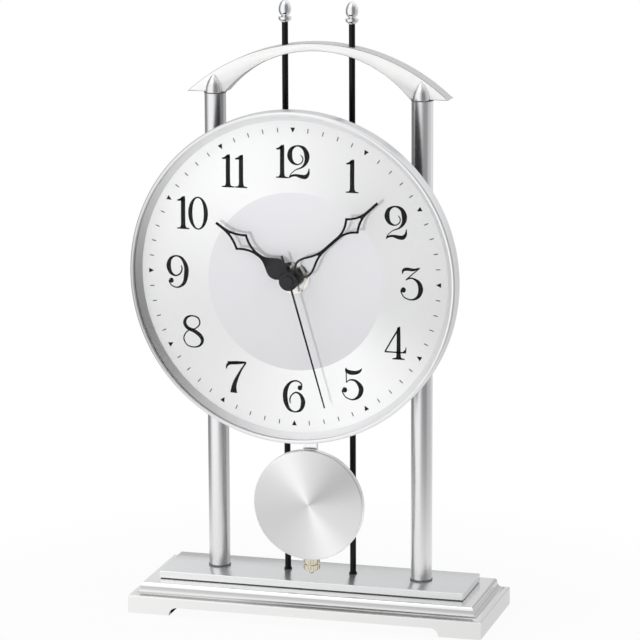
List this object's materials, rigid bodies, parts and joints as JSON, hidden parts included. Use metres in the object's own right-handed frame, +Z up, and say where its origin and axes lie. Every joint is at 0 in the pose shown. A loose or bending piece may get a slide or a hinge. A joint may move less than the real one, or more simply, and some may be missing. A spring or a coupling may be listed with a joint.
{
  "type": "desk pendulum clock",
  "caption": "Desk clock with a round domed-glass dial on two tube posts over a moulded base, an arched crown, two thin rods behind and a swinging disc pendulum.",
  "frame": {"origin": "on the ground, midway across the base and midway between the front of the glass and the back of the base", "axes": "+Z up, +X to the viewer's right when facing the dial, +Y from the dial to the back"},
  "size_m": [0.1714, 0.091, 0.29],
  "materials": {
    "chrome_base": "polished",
    "plate_steel": "satin",
    "post_chrome": "polished tube",
    "rod_black": "gloss black",
    "inner_steel": "plain",
    "bezel_chrome": "polished",
    "glass": "clear",
    "dial_metal": "brushed silver with black print",
    "black_plastic": "matt",
    "white_plastic": "matt",
    "hand_black": "black lacquer",
    "felt": "felt",
    "gasket": "matt",
    "pcb": "lacquered board",
    "copper": "enamelled copper",
    "ferrite": "ferrite with winding",
    "battery_skin": "printed sleeve, unmarked",
    "bob_metal": "spun brushed",
    "nut_brass": "pale, knurled"
  },
  "bodies": {
    "stand": {"base_plinth": "chrome_base", "foot_pads": "felt", "base_weight": "inner_steel", "plate_gasket": "gasket", "top_plate": "plate_steel", "left_post": "post_chrome", "right_post": "post_chrome", "post_rings": "gasket", "tie_rods": "inner_steel", "tie_nuts": "inner_steel", "left_rod": "rod_black", "right_rod": "rod_black", "rod_collars": "rod_black", "rod_nuts": "inner_steel", "rod_finials": "bezel_chrome", "crown_arch": "plate_steel", "crown_caps": "bezel_chrome", "crown_screws": "inner_steel", "bezel": "bezel_chrome", "glass_dome": "glass", "sloping_ring": "plate_steel", "dial_plate": "dial_metal", "case_pan": "black_plastic", "dial_washer": "inner_steel", "centre_nut": "nut_brass", "movement_case": "black_plastic", "movement_cover": "black_plastic", "cover_screws": "inner_steel", "middle_plate": "inner_steel", "circuit_board": "pcb", "radio_antenna": "ferrite", "stator": "inner_steel", "step_coil": "copper", "drive_coil": "copper", "battery_contacts": "inner_steel", "pivot_pin": "inner_steel", "bridge_frame": "inner_steel", "bridge_spacers": "inner_steel", "frame_screws": "inner_steel"},
    "second_hand": {"seconds_wheel": "white_plastic", "second_hand": "hand_black"},
    "minute_hand": {"centre_wheel": "white_plastic", "minute_hand": "hand_black"},
    "hour_hand": {"hour_wheel": "white_plastic", "hour_hand": "hand_black"},
    "third_wheel": {"third_wheel": "white_plastic"},
    "minute_wheel": {"minute_wheel": "white_plastic"},
    "step_wheel": {"step_wheel": "white_plastic"},
    "rotor": {"rotor": "inner_steel"},
    "pendulum": {"pendulum_lever": "white_plastic", "lever_magnet": "inner_steel", "pendulum_strip": "bezel_chrome", "pendulum_stud": "nut_brass"},
    "bob": {"bob": "bob_metal"},
    "rating_nut": {"rating_nut": "nut_brass"},
    "battery": {"battery": "battery_skin"},
    "set_button": {"set_button": "white_plastic"},
    "receive_button": {"receive_button": "white_plastic"},
    "reset_button": {"reset_button": "white_plastic"}
  },
  "joints": [
    {"name": "second_spin", "type": "hinge", "parent": "stand", "child": "second_hand", "pos_m": [0, -0.0245, 0.1688], "axis": [0, 1, 0], "continuous": true},
    {"name": "minute_spin", "type": "hinge", "parent": "stand", "child": "minute_hand", "pos_m": [0, -0.0245, 0.1688], "axis": [0, 1, 0], "continuous": true},
    {"name": "hour_spin", "type": "hinge", "parent": "stand", "child": "hour_hand", "pos_m": [0, -0.0245, 0.1688], "axis": [0, 1, 0], "continuous": true},
    {"name": "third_spin", "type": "hinge", "parent": "stand", "child": "third_wheel", "pos_m": [-0.01015, -0.0155, 0.16511], "axis": [0, 1, 0], "continuous": true},
    {"name": "minute_wheel_spin", "type": "hinge", "parent": "stand", "child": "minute_wheel", "pos_m": [0, -0.0205, 0.1598], "axis": [0, 1, 0], "continuous": true},
    {"name": "step_spin", "type": "hinge", "parent": "stand", "child": "step_wheel", "pos_m": [0.00761, -0.0105, 0.16603], "axis": [0, 1, 0], "continuous": true},
    {"name": "rotor_spin", "type": "hinge", "parent": "stand", "child": "rotor", "pos_m": [0.01139, -0.0095, 0.15948], "axis": [0, 1, 0], "continuous": true},
    {"name": "pendulum_swing", "type": "hinge", "parent": "stand", "child": "pendulum", "pos_m": [0, -0.0013, 0.1748], "axis": [0, 1, 0], "range_deg": [-8, 8]},
    {"name": "nut_spin", "type": "hinge", "parent": "bob", "child": "rating_nut", "pos_m": [0, 0.0022, 0.0268], "axis": [0, 0, 1], "range_deg": [-720, 720]},
    {"name": "bob_slide", "type": "slide", "parent": "pendulum", "child": "bob", "axis": [0, 0, 1], "range_m": [-0.001, 0.001]},
    {"name": "battery_slide", "type": "slide", "parent": "stand", "child": "battery", "axis": [0, 1, 0], "range_m": [0, 0.02]},
    {"name": "set_press", "type": "slide", "parent": "stand", "child": "set_button", "axis": [0, -1, 0], "range_m": [0, 0.0005], "stiffness_N_per_m": 1500},
    {"name": "receive_press", "type": "slide", "parent": "stand", "child": "receive_button", "axis": [0, -1, 0], "range_m": [0, 0.0005], "stiffness_N_per_m": 1500},
    {"name": "reset_press", "type": "slide", "parent": "stand", "child": "reset_button", "axis": [0, -1, 0], "range_m": [0, 0.0005], "stiffness_N_per_m": 1500}
  ],
  "couplings": [
    {"joint": "minute_spin", "follows": "second_spin", "ratio": 0.016667},
    {"joint": "hour_spin", "follows": "second_spin", "ratio": 0.0013889},
    {"joint": "third_spin", "follows": "second_spin", "ratio": -0.125},
    {"joint": "minute_wheel_spin", "follows": "second_spin", "ratio": -0.0055556},
    {"joint": "step_spin", "follows": "second_spin", "ratio": -5},
    {"joint": "rotor_spin", "follows": "second_spin", "ratio": 30},
    {"joint": "nut_spin", "follows": "bob_slide", "rad_per_m": 12566}
  ]
}
